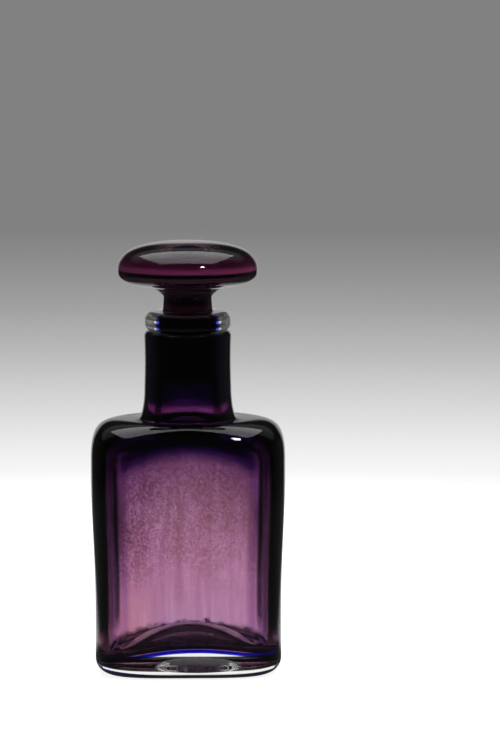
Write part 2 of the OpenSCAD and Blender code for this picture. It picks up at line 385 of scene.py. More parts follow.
def solid(name, verts, faces, material):
    """A smooth mesh object in one material."""
    mesh = bpy.data.meshes.new(name)
    mesh.from_pydata(verts, [], faces)
    mesh.shade_smooth()
    mesh.materials.append(material)
    if mesh.validate():
        raise RuntimeError(f"{name} has broken faces")
    return in_scene(name, mesh)


def band(name, rings, material):
    """A closed mesh from rings of points of which the last meets the first."""
    points = [point for ring in rings for point in ring]
    return solid(name, points, strips(rings, closed=True), material)


def turned(profile, count=TURNED):
    """Rings of points round the axis from a line of (radius, height)."""
    return [
        [(r * math.cos(2 * math.pi * i / count), r * math.sin(2 * math.pi * i / count), z)
         for i in range(count)]
        for r, z in profile
    ]


def arc(x, z, r, first, count=8):
    """A quarter of a circle as (radius, height) pairs."""
    return [(x + r * math.cos(first + turn), z + r * math.sin(first + turn))
            for turn in quarter(count, 0)]


class Nodes:
    """A node tree being filled in, with short calls for adding and joining nodes."""

    def __init__(self, tree):
        self.tree = tree

    def put(self, value, socket):
        """Joins a socket to another one, or sets its value. A colour has three parts."""
        if isinstance(value, bpy.types.NodeSocket):
            self.tree.links.new(value, socket)
        elif socket.type == "RGBA":
            socket.default_value = (*value, 1.0)
        else:
            socket.default_value = value

    def add(self, kind, inputs=None, **values):
        node = self.tree.nodes.new(kind)
        for key, value in values.items():
            setattr(node, key, value)
        for key, value in (inputs or {}).items():
            self.put(value, node.inputs[key])
        return node

    def math(self, operation, a, b=0.0, c=0.0, clamp=False):
        """One step of arithmetic."""
        return self.add(
            "ShaderNodeMath", {0: a, 1: b, 2: c}, operation=operation, use_clamp=clamp
        ).outputs[0]

    def times(self, first, *others):
        """The product of several values."""
        for value in others:
            first = self.math("MULTIPLY", first, value)
        return first

    def between(self, value, low, high, to_low=0.0, to_high=1.0):
        """value eased from one range to another."""
        return self.add("ShaderNodeMapRange", {
            "Value": value, "From Min": low, "From Max": high, "To Min": to_low,
            "To Max": to_high}, interpolation_type="SMOOTHSTEP").outputs["Result"]

    def overlap(self, *fades):
        """Where several values have all faded in, each given as between takes it."""
        return self.times(*(self.between(*fade) for fade in fades))

    def pick(self, which, at_0, at_1):
        """One value where which is 0 and another where it is 1."""
        return self.between(which, 0.0, 1.0, at_0, at_1)

    def mix(self, factor, a, b):
        """A mix of two colours."""
        return self.add("ShaderNodeMix", {0: factor, 6: a, 7: b}, data_type="RGBA").outputs[2]

    def ramp(self, factor, stops):
        """A run of colours from (place, colour) pairs."""
        node = self.add("ShaderNodeValToRGB", {"Fac": factor})
        marks = node.color_ramp.elements
        for index, (at, tone) in enumerate(stops):
            stop = marks[index] if index < 2 else marks.new(at)
            stop.position, stop.color = at, (*tone, 1.0)
        return node.outputs["Color"]

    def noise(self, vector, scale, detail, rough, distort=0.0):
        return self.add("ShaderNodeTexNoise", {
            "Vector": vector, "Scale": scale, "Detail": detail, "Roughness": rough,
            "Distortion": distort}).outputs["Fac"]

    def mapped(self, vector, scale, move=(0.0, 0.0, 0.0)):
        """A place scaled along each axis, then moved."""
        return self.add("ShaderNodeMapping", {
            "Vector": vector, "Scale": scale, "Location": move}).outputs["Vector"]

    def axes(self, vector):
        return self.add("ShaderNodeSeparateXYZ", {"Vector": vector}).outputs

    def reach(self, vector):
        """The length of a vector."""
        return self.add("ShaderNodeVectorMath", {0: vector}, operation="LENGTH").outputs["Value"]

    def shader(self, kind, **inputs):
        return self.add("ShaderNode" + kind, inputs).outputs[0]

    def blend(self, factor, first, second):
        """A mix of two shaders."""
        return self.add("ShaderNodeMixShader", {0: factor, 1: first, 2: second}).outputs[0]


def dimmed(c, part_left):
    """A colour made darker."""
    return tuple(part * part_left for part in c)


def emptied(block):
    """The node filler of a material or a world, with none of its first nodes."""
    block.use_nodes = True
    block.node_tree.nodes.clear()
    return Nodes(block.node_tree)


def new_material(name):
    """A material, its node filler and the place of each point on its object."""
    material = bpy.data.materials.new(name)
    nodes = emptied(material)
    return material, nodes, nodes.add("ShaderNodeTexCoord").outputs["Object"]


def finish(nodes, surface, tone, density):
    """Joins a surface and the tint of its depth to the material's output."""
    depth = nodes.add("ShaderNodeVolumeAbsorption", {"Color": tone, "Density": density})
    nodes.add("ShaderNodeOutputMaterial", {"Surface": surface, "Volume": depth.outputs["Volume"]})


def new_group(name, kind, output, **inputs):
    """An empty group of nodes with named inputs and one output, its filler and its two ends."""
    tree = bpy.data.node_groups.new(name, kind)
    sockets = [(output[0], "OUTPUT", output[1])]
    sockets += [(key.replace("_", " "), "INPUT", sort) for key, sort in inputs.items()]
    for key, way, sort in sockets:
        tree.interface.new_socket(name=key, in_out=way, socket_type="NodeSocket" + sort)
    nodes = Nodes(tree)
    start, end = nodes.add("NodeGroupInput"), nodes.add("NodeGroupOutput")
    return tree, nodes, start.outputs, end.inputs[output[0]]


# How strongly the clear glass bends light
IOR = 1.5
# Waves of the clear glass: how much longer they are upwards, their detail and roughness
RIPPLE_SCALE, RIPPLE_DETAIL, RIPPLE_ROUGH = (1.0, 1.0, 0.45), 1.0, 0.4
# The ground hollow: its chips as noise, their relief beside the waves, their roughness, how far
# they wander over its edge, and how far above and outside it they fade out
CHIPS, CHIP_RELIEF, CHIP_ROUGH, CHIP_WANDER = (380.0, 3.0, 0.6), 2.4, 0.5, 0.016
GROUND_UP, GROUND_OUT, GROUND_EDGE = 0.001, 0.0006, (0.001, 0.002)


def ripple_group():
    """The soft waves of glass that was blown and marvered by hand."""
    name = "Blown glass ripple"
    if name in bpy.data.node_groups:
        return bpy.data.node_groups[name]
    tree, nodes, start, end = new_group(
        name, "ShaderNodeTree", ("Height", "Float"), Position="Vector", Waves_per_metre="Float"
    )
    long = nodes.mapped(start["Position"], RIPPLE_SCALE)
    wave = nodes.noise(long, start["Waves per metre"], RIPPLE_DETAIL, RIPPLE_ROUGH)
    nodes.put(wave, end)
    return tree


def clear_glass(name, colours, waves, lift, pontil=None):
    """Clear glass with a faint ripple and a trace of colour in its depth.

    pontil is (radius, shift, height) of the rough, ground hollow under the foot.
    """
    material, nodes, place = new_material(name)
    ripple = nodes.add(
        "ShaderNodeGroup", {"Position": place, "Waves per metre": waves}, node_tree=ripple_group()
    )
    relief, ground = ripple.outputs["Height"], 0.0
    if pontil is not None:
        radius, shift, high = pontil
        out = nodes.reach(nodes.mapped(place, (1.0, 1.0, 0.0), (-shift, 0.0, 0.0)))
        under = (nodes.axes(place)["Z"], high, high + GROUND_UP, 1.0, 0.0)
        chips = nodes.noise(place, *CHIPS)
        rough = nodes.overlap(under, (out, radius, radius + GROUND_OUT, CHIP_RELIEF, 0.0))
        relief = nodes.math("MULTIPLY_ADD", chips, rough, relief)
        edge = nodes.math("MULTIPLY_ADD", chips, CHIP_WANDER, out)
        low, far = (radius + more for more in GROUND_EDGE)
        ground = nodes.overlap(under, (edge, low, far, CHIP_ROUGH, 0.0))
    bump = nodes.add("ShaderNodeBump", {"Height": relief, "Strength": 1.0, "Distance": lift})
    glass = nodes.add("ShaderNodeBsdfPrincipled", {
        "Base Color": WHITE, "Roughness": ground, "IOR": IOR, "Transmission Weight": 1.0,
        "Normal": bump.outputs["Normal"]})
    finish(nodes, glass.outputs["BSDF"], colours.clear, colours.clear_depth)
    return material


# What one face of the purple lets through at each height, on top of its depth: blue low down, then
# darkened as painted shade from under the shoulder up the neck, save a band of painted light at the
# neck's foot
PURPLE_AND_PAINTED_LIGHT_BY_HEIGHT = (
    (0.0, (0.40, 0.38, 0.85)), (0.017, (0.45, 0.42, 0.85)), (0.022, (0.80, 0.68, 0.80)),
    (0.045, (0.79, 0.62, 0.74)), (0.070, (0.78, 0.61, 0.73)), (0.090, (0.72, 0.56, 0.67)),
    (0.112, (0.59, 0.45, 0.57)), (0.126, (0.47, 0.32, 0.50)), (0.132, (0.09, 0.04, 0.19)),
    (0.137, (0.05, 0.02, 0.10)), (0.1475, (0.08, 0.04, 0.13)), (0.150, (0.46, 0.27, 0.48)),
    (0.1545, (0.42, 0.23, 0.48)), (0.157, (0.06, 0.02, 0.13)), (0.165, (0.05, 0.03, 0.12)),
)
# The height at the end of the run of colours, and how far the colours sink towards the corners, so
# that the painted shade under the shoulder starts lower there
PURPLE_TOP, CORNER_SINK = 0.2, 0.018
# Warmer glass low on the left: its tint, where it fades in across and in height
WARM, WARM_ACROSS, WARM_HEIGHT = (0.90, 0.66, 0.64), (-0.012, -0.036), (0.055, 0.030, 0.0, 0.5)
# Painted shade that darkens the purple at the corners and at the sides, by its share of the half width
CORNER_SHADE, CORNER_SHADE_REACH = (0.42, 0.25, 0.54), (0.72, 0.83, 0.0, 0.6)
SIDE, SIDE_REACH, SIDE_HEIGHT = (0.035, 0.02, 0.035), (0.89, 0.96), (0.015, 0.03)
# The dried film: its specks, clouds and drips as noise, how each fades in, and from what height
SPECKS, CLOUDS, DRIPS = (620.0, 5.0, 0.75), (45.0, 4.0, 0.6), (130.0, 3.0, 0.6)
SPECKLED, CLOUDED, DRIPPED, FILM_HEIGHT = (0.44, 0.56), (0.42, 0.60), (0.45, 0.68), (0.03, 0.08)
DRIP_SCALE, BARE, BARE_DRIPS = (1.0, 1.0, 0.10), (0.93, 0.86, 0.90), (0.40, 0.60)
# Its cracks: noise, half their width, their tint, and where they are dense
CRACKS, CRACK_WIDTH, CRACK = (520.0, 3.0, 0.6, 0.8), (0.0, 0.07, 1.0, 0.0), (0.50, 0.34, 0.50)
CRACK_LEFT, CRACK_HEIGHT = (0.0, -0.03, 0.35, 1.0), (0.045, 0.075)
CRACK_CLOUDS = (0.30, 0.50, 0.4, 1.0)
# The crust on the floor: the noise of its edge, how far that wanders, where it ends, its tints
CRUST_SCALE, CRUST_EDGE, CRUST_WANDER = (1.0, 1.0, 1.3), (170.0, 5.0, 0.7, 0.5), 0.6
CRUST_END, CRUST_THIN, CRUST_THICK = (0.89, 1.05, 0.0, 0.85), (0.34, 0.20, 0.34), (0.16, 0.09, 0.17)


def purple_glass(colours, s):
    """The bubble of purple glass, blue where it thins out, with painted shade under the shoulder, at
    the corners and at the sides, and a painted band of light at the neck's foot.
    """
    material, nodes, place = new_material("purple_glass_lining")
    inner, floor = (
        nodes.add("ShaderNodeAttribute", attribute_name=name).outputs["Fac"]
        for name in ("inner", "floor")
    )
    at = nodes.axes(place)
    across, height = at["X"], at["Z"]
    wide, deep = (
        nodes.math("DIVIDE", nodes.math("ABSOLUTE", at[axis]), whole / 2 - s.casing_t)
        for axis, whole in (("X", s.foot_w), ("Y", s.body_d))
    )
    corner = nodes.math("MINIMUM", wide, deep)
    sunk = nodes.math("MULTIPLY_ADD", nodes.times(corner, corner), CORNER_SINK, height)
    # The run by height paints shade under the shoulder and in the neck, and a band of light at the
    # neck's foot
    outer = nodes.ramp(nodes.math("DIVIDE", sunk, PURPLE_TOP),
                       [(z / PURPLE_TOP, tone) for z, tone in PURPLE_AND_PAINTED_LIGHT_BY_HEIGHT])
    # Warmer glass low on the left, then painted shade at the corners and at the sides
    for tone, *fades in (
        (WARM, (across, *WARM_ACROSS), (height, *WARM_HEIGHT)),
        (CORNER_SHADE, (corner, *CORNER_SHADE_REACH)),
        (SIDE, (wide, *SIDE_REACH), (height, *SIDE_HEIGHT)),
    ):
        outer = nodes.mix(nodes.overlap(*fades), outer, tone)
    clouds = nodes.noise(place, *CLOUDS)
    drips = nodes.noise(nodes.mapped(place, DRIP_SCALE), *DRIPS)
    film = nodes.math("ADD", nodes.between(clouds, *CLOUDED), nodes.between(drips, *DRIPPED))
    film = nodes.times(film, nodes.between(nodes.noise(place, *SPECKS), *SPECKLED))
    film = nodes.math("MULTIPLY", film, nodes.between(height, *FILM_HEIGHT), clamp=True)
    bare = nodes.mix(nodes.between(drips, *BARE_DRIPS), WHITE, BARE)
    coat = nodes.mix(film, bare, colours.residue)
    # A network of fine cracks in the film, densest high on the left
    cracks = nodes.math("SUBTRACT", nodes.noise(place, *CRACKS), 0.5)
    cracks = nodes.overlap(
        (nodes.math("ABSOLUTE", cracks), *CRACK_WIDTH), (across, *CRACK_LEFT),
        (height, *CRACK_HEIGHT), (clouds, *CRACK_CLOUDS),
    )
    coat = nodes.mix(cracks, coat, CRACK)
    clear = nodes.shader("BsdfTransparent", Color=nodes.mix(inner, outer, coat))
    # What dried up on the floor, with a ragged edge
    ragged = nodes.noise(nodes.mapped(place, CRUST_SCALE), *CRUST_EDGE)
    floor = nodes.math("MULTIPLY_ADD", ragged, CRUST_WANDER, floor)
    crust = nodes.times(nodes.between(floor, *CRUST_END), inner)
    dried = nodes.shader("BsdfDiffuse", Color=nodes.mix(clouds, CRUST_THIN, CRUST_THICK))
    finish(nodes, nodes.blend(crust, clear, dried), colours.purple, colours.purple_depth)
    return material


# Streaks: their cords and clouds as noise, how each fades in, and what the thick ones let through
CORD_SCALE, CORDS, CORDED = (1.0, 1.0, 2.6), (90.0, 3.0, 0.6, 1.2), (0.42, 0.66)
STREAK_CLOUDS, STREAK_CLOUDED, THICK_SHARE = (35.0, 2.0, 0.5), (0.3, 0.6), 0.72
# Painted glow of scattered light in coloured glass: how it fades in and out, and the brighter line at
# its lower end
GLOW_IN, GLOW_OUT, LINE_IN, LINE_OUT, LINE_SHARE = 0.002, 0.006, 0.001, (0.0045, 0.002), 0.8


def streak_group():
    """Cords and clouds where coloured glass was folded in unevenly."""
    name = "Streaks in coloured glass"
    if name in bpy.data.node_groups:
        return bpy.data.node_groups[name]
    tree, nodes, start, end = new_group(
        name, "ShaderNodeTree", ("Color", "Color"), Position="Vector", Thin="Color", Thick="Color"
    )
    cords = nodes.noise(nodes.mapped(start["Position"], CORD_SCALE), *CORDS)
    clouds = nodes.noise(start["Position"], *STREAK_CLOUDS)
    dense = nodes.overlap((cords, *CORDED), (clouds, *STREAK_CLOUDED))
    nodes.put(nodes.mix(dense, start["Thin"], start["Thick"]), end)
    return tree


def inner_colour(name, tone, density, face=WHITE, end_face=None, painted_glow=None):
    """Coloured glass inside a clear skin: it tints light and doesn't bend it.

    end_face is (height, height, tint): past the second height its faces have a tint of their own; on
    the cap this is painted shade on its underside.
    painted_glow is (low, high, share, tint): between these heights the glass scatters light as a
    painted glow, with a brighter line at its lower end.
    """
    material, nodes, place = new_material(name)
    streaks = nodes.add("ShaderNodeGroup", {
        "Position": place, "Thin": face, "Thick": dimmed(face, THICK_SHARE)},
        node_tree=streak_group())
    tint, height = streaks.outputs["Color"], nodes.axes(place)["Z"]
    if end_face is not None:
        near, far, own = end_face
        tint = nodes.mix(nodes.between(height, near, far), tint, own)
    surface = nodes.shader("BsdfTransparent", Color=tint)
    if painted_glow is not None:
        low, high, part, own = painted_glow
        top, full = (low + more for more in LINE_OUT)
        # A translucent band and a diffuse line paint a glow of light in the glass
        for kind, fade_in, start, whole, glow_tint in (
            ("BsdfTranslucent", GLOW_IN, high, high - GLOW_OUT, own),
            ("BsdfDiffuse", LINE_IN, top, full, dimmed(own, LINE_SHARE)),
        ):
            mask = nodes.overlap((height, low, low + fade_in), (height, start, whole, 0.0, part))
            surface = nodes.blend(mask, surface, nodes.shader(kind, Color=glow_tint))
    finish(nodes, surface, tone, density)
    return material


# Points closer than this are one
SAME_PLACE = 1e-6


def cap_tree():
    """Geometry nodes for a cap turned from a rounded outline, flat where it sits on the merese."""
    tree, nodes, start, end = new_group(
        "Turned cap", "GeometryNodeTree", ("Geometry", "Geometry"), Radius="Float", Rise="Float",
        Drop="Float", Fullness="Float", Widest_height="Float", Seat_height="Float", Sides="Int",
        Steps="Int", Glass="Material",
    )
    grid = nodes.add("GeometryNodeMeshGrid", {
        "Size X": 1.0, "Size Y": 1.0, "Vertices X": start["Sides"], "Vertices Y": start["Steps"]})
    place = nodes.axes(nodes.add("GeometryNodeInputPosition").outputs["Position"])
    turn = nodes.times(nodes.math("ADD", place["X"], 0.5), 2 * math.pi)
    climb = nodes.times(place["Y"], math.pi)
    power = nodes.math("DIVIDE", 2.0, start["Fullness"])
    out = nodes.math("POWER", nodes.math("MAXIMUM", nodes.math("COSINE", climb), 0.0), power)
    out = nodes.times(out, start["Radius"])
    sine = nodes.math("SINE", climb)
    up = nodes.math("POWER", nodes.math("ABSOLUTE", sine), power)
    above = nodes.times(up, start["Rise"])
    below = nodes.times(up, start["Drop"], -1.0)
    is_above = nodes.math("GREATER_THAN", sine, 0.0)
    z = nodes.math("MULTIPLY_ADD", is_above, nodes.math("SUBTRACT", above, below), below)
    z = nodes.math("MAXIMUM", nodes.math("ADD", z, start["Widest height"]), start["Seat height"])
    where = nodes.add("ShaderNodeCombineXYZ", {
        "X": nodes.times(out, nodes.math("COSINE", turn)),
        "Y": nodes.times(out, nodes.math("SINE", turn)), "Z": z})
    shape = nodes.add("GeometryNodeSetPosition", {
        "Geometry": grid.outputs["Mesh"], "Position": where.outputs["Vector"]})
    for kind, inputs in (
        ("GeometryNodeMergeByDistance", {"Distance": SAME_PLACE}),
        ("GeometryNodeSetShadeSmooth", {}),
        ("GeometryNodeRealizeInstances", {}),
        ("GeometryNodeSetMaterial", {"Material": start["Glass"]}),
    ):
        shape = nodes.add(kind, {"Geometry": shape.outputs[0], **inputs})
    nodes.put(shape.outputs[0], end)
    return tree


def from_tree(name, tree, values):
    """Runs a geometry tree with named inputs and returns its result as a plain mesh object."""
    host = in_scene(name + "_host", bpy.data.meshes.new(name + "_host"))
    modifier = host.modifiers.new(tree.name, "NODES")
    modifier.node_group = tree
    for item in tree.interface.items_tree:
        if item.item_type == "SOCKET" and item.in_out == "INPUT":
            modifier[item.identifier] = values[item.name]
    graph = bpy.context.evaluated_depsgraph_get()
    mesh = bpy.data.meshes.new_from_object(host.evaluated_get(graph))
    mesh.name = name
    bpy.data.objects.remove(host)
    return in_scene(name, mesh)


def mark(piece, name, by_ring, ends):
    """Gives each ring of points a value that the material reads."""
    values = [ends[0]] + [value for value in by_ring for _ in range(AROUND)] + [ends[1]]
    piece.data.attributes.new(name, "FLOAT", "POINT").data.foreach_set("value", values)


# Waves per metre and their height in metres, and how far above the hollow the ground glass goes
BODY_RIPPLE, STOPPER_RIPPLE, GROUND_OVER = (22.0, 0.0004), (30.0, 0.0002), 0.0005
# The cap's underside, darkened grey as painted shade: heights over its seat between which the painted
# shade starts, and its tint
CAP_UNDER_SHADE_H, CAP_UNDER_SHADE = (0.0115, 0.009), (0.27, 0.24, 0.25)
# The cap's painted glow, a magenta band of light: heights over its widest line between which it lies,
# its share and tint
CAP_GLOW_H, CAP_GLOW_SHARE, CAP_GLOW = (0.0005, 0.013), 0.75, (0.95, 0.17, 0.58)
# The core: depths under its top where its own tint ends, and its painted glow from below the merese
CORE_TOP_H, CORE_GLOW_H = (0.0006, 0.0002), (0.008, 0.006)
CORE_GLOW_SHARE, CORE_GLOW = 0.35, (0.80, 0.08, 0.42)


class GLASSBOTTLE_OT_casing(Operator):
    """Makes the bottle's clear glass: its outside, its mouth and the walls of the bubble"""

    bl_idname = "glassbottle.casing"
    bl_label = "Clear casing"

    def execute(self, context):
        s, colours = context.scene.bottle_sizes, context.scene.glass_colours
        outside = side_levels(
            s, 0.0, 0.0, s.foot_h, s.foot_reach, s.corner_h, s.shoulder_h, s.neck_d / 2
        )
        bubble = bubble_levels(s, s.casing_t + s.lining_t, s.bore_r, s.mouth_h - s.bore_edge)
        rings = put_on(s, foot_levels(s) + outside + neck_levels(s) + bubble[::-1])
        floor_z = s.floor_low + s.lining_t + s.floor_crown + floor_shape(s, 0.0)
        glass = clear_glass(
            "clear_glass_casing", colours, *BODY_RIPPLE,
            (kick_radius(s), s.kick_shift, s.kick_h + GROUND_OVER),
        )
        piece = skin(
            "casing_glass", rings, (s.kick_shift, 0.0, s.kick_h), (0.0, 0.0, floor_z), glass
        )
        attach(piece, "bottle")
        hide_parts("casing")
        return {"FINISHED"}


class GLASSBOTTLE_OT_lining(Operator):
    """Makes the bubble of purple glass inside the clear casing"""

    bl_idname = "glassbottle.lining"
    bl_label = "Purple lining"

    def execute(self, context):
        s, colours = context.scene.bottle_sizes, context.scene.glass_colours
        top = s.mouth_h - s.lining_end
        outer = bubble_levels(s, s.casing_t, s.bore_r + s.neck_lining_t, top)
        inner = bubble_levels(s, s.casing_t + s.lining_t - FILM, s.bore_r + FILM, top)
        rings = put_on(s, outer + inner[::-1])
        low = s.floor_low + s.floor_crown + floor_shape(s, 0.0)
        piece = skin(
            "lining_glass", rings, (0.0, 0.0, low), (0.0, 0.0, low + s.lining_t - FILM),
            purple_glass(colours, s),
        )
        count, edge = len(outer), FLOOR_LEVELS - 1
        low_down = [min(max(1 - (k - edge) / CRUST_LEVELS, 0.0), 1.0) for k in range(count)]
        mark(piece, "inner", [0.0] * count + [1.0] * count, (0.0, 1.0))
        mark(piece, "floor", low_down + low_down[::-1], (1.0, 1.0))
        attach(piece, "bottle")
        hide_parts("lining")
        # A thin halo of blue under the purple's lower edge
        levels = slice(edge - 1, edge + HALO_LEVELS)
        inner = bubble_levels(s, s.casing_t - FILM, s.bore_r, top)[levels]
        outer = bubble_levels(s, s.casing_t - s.halo_t, s.bore_r, top)[levels]
        halo = band(
            "lining_halo", put_on(s, outer + inner[::-1]),
            inner_colour("cobalt_glass_halo", colours.cobalt, colours.halo_depth, colours.cobalt),
        )
        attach(halo, "bottle")
        return {"FINISHED"}


def cap_places(k):
    """The cap's seat radius and the height of its widest line."""
    seat_r = k.merese_d / 2 + k.seat_margin
    part = (1 - (2 * seat_r / k.cap_d) ** k.cap_square) ** (1 / k.cap_square)
    return seat_r, k.cap_seat_h + k.cap_drop * part


def stopper_profile(k, mouth_z):
    """The outside of the stopper from its plug's end up to the top of the cap."""
    plug_r, end_z = k.plug_d / 2, mouth_z - k.plug_l
    low_r, ring_r = plug_r - k.plug_taper / 2, k.ring_d / 2
    seat_z = mouth_z + 2 * FILM
    ring_top = mouth_z + k.ring_h
    stem_top = k.cap_seat_h - k.merese_h
    line = [(low_r * t * END_FLAT, end_z) for t in steps(END_POINTS)]
    line += arc(low_r - k.plug_edge_r, end_z + k.plug_edge_r, k.plug_edge_r, -math.pi / 2)
    side_z, notch = end_z + k.plug_edge_r, k.seat_notch
    line += [(mid(low_r, plug_r, t), mid(side_z, mouth_z - notch, t)) for t in steps(SIDE_POINTS)]
    line += [(plug_r - notch / 4, mouth_z - notch / 4), (plug_r + notch, seat_z)]
    for r, z, first, count in (
        (k.ring_low_r, seat_z + k.ring_low_r, -math.pi / 2, RING_LOW_POINTS),
        (k.ring_top_r, ring_top - k.ring_top_r, 0.0, RING_TOP_POINTS),
    ):
        line += arc(ring_r - r, z, r, first, count)
    stem_r, stem_low = k.stem_d / 2, ring_top + k.stem_fillet
    line += arc(stem_r + k.stem_fillet, stem_low, k.stem_fillet, -math.pi, FILLET_POINTS)[::-1]
    line += [(mid(stem_r, k.stem_top_d / 2, t), mid(stem_low, stem_top, t))
             for t in steps(STEM_POINTS)]
    nose = k.merese_h / k.merese_steps / 2
    for step in range(k.merese_steps):
        flare = (k.merese_d - k.stem_top_d) / 2 * ((step + 1) / k.merese_steps) ** k.merese_hollow
        for t in steps(NOSE_POINTS, 0):
            turn = (t - 0.5) * math.pi
            line.append((k.stem_top_d / 2 + flare - nose * (1 - math.cos(turn)),
                         stem_top + nose * (2 * step + 1 + math.sin(turn))))
    seat_r, wide_z = cap_places(k)
    line[-1] = (line[-1][0], k.cap_seat_h)
    cap_r = k.cap_d / 2
    start = -math.acos((seat_r / cap_r) ** (k.cap_square / 2))
    turns = [start * (1 - t) for t in steps(CAP_LOW_POINTS, 0)]
    for turn in turns + quarter(CAP_TOP_POINTS)[:-1]:
        rise = k.cap_rise if turn > 0 else k.cap_drop
        line.append((cap_r * bulge(math.cos(turn), k.cap_square),
                     wide_z + rise * bulge(math.sin(turn), k.cap_square)))
    return line, end_z, wide_z + k.cap_rise


class GLASSBOTTLE_OT_stopper_glass(Operator):
    """Makes the stopper's clear glass: plug, ring, stem, merese and the skin of the cap"""

    bl_idname = "glassbottle.stopper_glass"
    bl_label = "Stopper's clear glass"

    def execute(self, context):
        k, colours = context.scene.stopper_sizes, context.scene.glass_colours
        line, low, high = stopper_profile(k, context.scene.bottle_sizes.mouth_h)
        piece = skin(
            "stopper_glass", turned(line), (0.0, 0.0, low), (0.0, 0.0, high),
            clear_glass("clear_glass_stopper", colours, *STOPPER_RIPPLE),
        )
        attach(piece, "stopper")
        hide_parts("stopper_merese", "stopper_sleeve", "stopper_ring")
        return {"FINISHED"}


class GLASSBOTTLE_OT_cap(Operator):
    """Makes the dark plum glass of the cap"""

    bl_idname = "glassbottle.cap"
    bl_label = "Plum cap"

    def execute(self, context):
        k, colours = context.scene.stopper_sizes, context.scene.glass_colours
        wide_z = cap_places(k)[1]
        # Painted shade darkens the cap's faces low on its underside
        under = [k.cap_seat_h + up for up in CAP_UNDER_SHADE_H]
        # A painted glow of magenta light in the cap above its widest line
        painted_glow = [wide_z + up for up in CAP_GLOW_H]
        piece = from_tree("cap_plum", cap_tree(), {
            "Radius": k.cap_d / 2 - FILM, "Rise": k.cap_rise - FILM, "Drop": k.cap_drop - FILM,
            "Fullness": k.cap_square, "Widest height": wide_z,
            "Seat height": k.cap_seat_h + FILM, "Sides": TURNED + 1, "Steps": CAP_ROWS,
            "Glass": inner_colour("plum_glass_cap", colours.plum, colours.plum_depth, WHITE,
                                  (*under, CAP_UNDER_SHADE), (*painted_glow, CAP_GLOW_SHARE, CAP_GLOW)),
        })
        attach(piece, "stopper")
        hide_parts("stopper_head")
        return {"FINISHED"}


class GLASSBOTTLE_OT_core(Operator):
    """Makes the purple core of the stopper's stem and plug"""

    bl_idname = "glassbottle.core"
    bl_label = "Purple core"

    def execute(self, context):
        k, colours = context.scene.stopper_sizes, context.scene.glass_colours
        mouth_z = context.scene.bottle_sizes.mouth_h
        low = mouth_z - k.plug_l + k.plug_end_t
        high, r, edge = k.cap_seat_h - FILM, k.core_d / 2, k.core_edge_r
        line = [(r * t * CORE_FLAT, low) for t in steps(CORE_END_POINTS)]
        line += arc(r - edge, low + edge, edge, -math.pi / 2)
        line += [(r, mid(low + edge, high, t)) for t in steps(CORE_SIDE_POINTS)]
        line += [(r * (1 - t), high) for t in steps(CORE_END_POINTS)[:-1]]
        top = [high - down for down in CORE_TOP_H]
        piece = skin(
            "core_purple", turned(line), (0.0, 0.0, low), (0.0, 0.0, high),
            inner_colour(
                "purple_glass_core", colours.purple, colours.core_depth, colours.cobalt,
                (*top, WHITE),
                # A painted glow of magenta light in the core, from below the merese to its top
                (high - k.merese_h - CORE_GLOW_H[0], high + CORE_GLOW_H[1], CORE_GLOW_SHARE,
                 CORE_GLOW),
            ),
        )
        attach(piece, "stopper")
        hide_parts("stopper_core")
        # A thin blue halo round the core, seen through the ring
        low, high, wide = mouth_z + FILM, mouth_z + k.ring_h - FILM, r + k.core_halo_t
        halo = band(
            "core_halo", turned([(r + FILM, low), (wide, low), (wide, high), (r + FILM, high)]),
            inner_colour("cobalt_glass_ring", colours.cobalt, colours.ring_depth),
        )
        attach(halo, "stopper")
        return {"FINISHED"}


def seen_directly(nodes):
    """1 for what the camera, a gloss or glass shows, 0 for the light that falls on things."""
    path = nodes.add("ShaderNodeLightPath").outputs
    shown = nodes.math("ADD", path["Is Camera Ray"], path["Is Glossy Ray"])
    return path, nodes.math("ADD", shown, path["Is Transmission Ray"], clamp=True)


# The background: (how high above its white foot, its shade from 0 to 255)
BACKDROP = (
    (0.0, 255), (0.08, 250), (0.18, 240), (0.36, 215), (0.53, 188), (0.71, 161),
    (0.86, 143), (1.0, 129),
)
# What follows is in parts of a line of sight of length 1: X right, Y backwards, Z up.
# The foot of the background and the height over which it turns grey
BACKDROP_FOOT, BACKDROP_H = -0.170, 0.090
# How far back the white window begins and is whole, for reflections and for light through glass
WINDOW_START, WINDOW_WHOLE, WINDOW_TOP = (0.86, 0.74), (0.94, 0.82), (0.15, 0.27, 1.0, 0.0)
# The grey over it, and the cards to the left and right
GREY_BACK, GREY_UP = (0.1, 0.4), (0.46, 0.58)
CARD_ASIDE, CARD_TOP, CARD_BACK = (0.60, 0.75), (0.30, 0.45, 1.0, 0.0), (-0.2, 0.0)
# How bright reflections show the window and the cards beside what glass shows of them
WINDOW_GLOSS, CARD_GLOSS = 0.5, 0.15


def linear(value):
    """How much light a shade from 0 to 255 stands for."""
    value /= 255
    return value / 12.92 if value <= 0.04045 else ((value + 0.055) / 1.055) ** 2.4


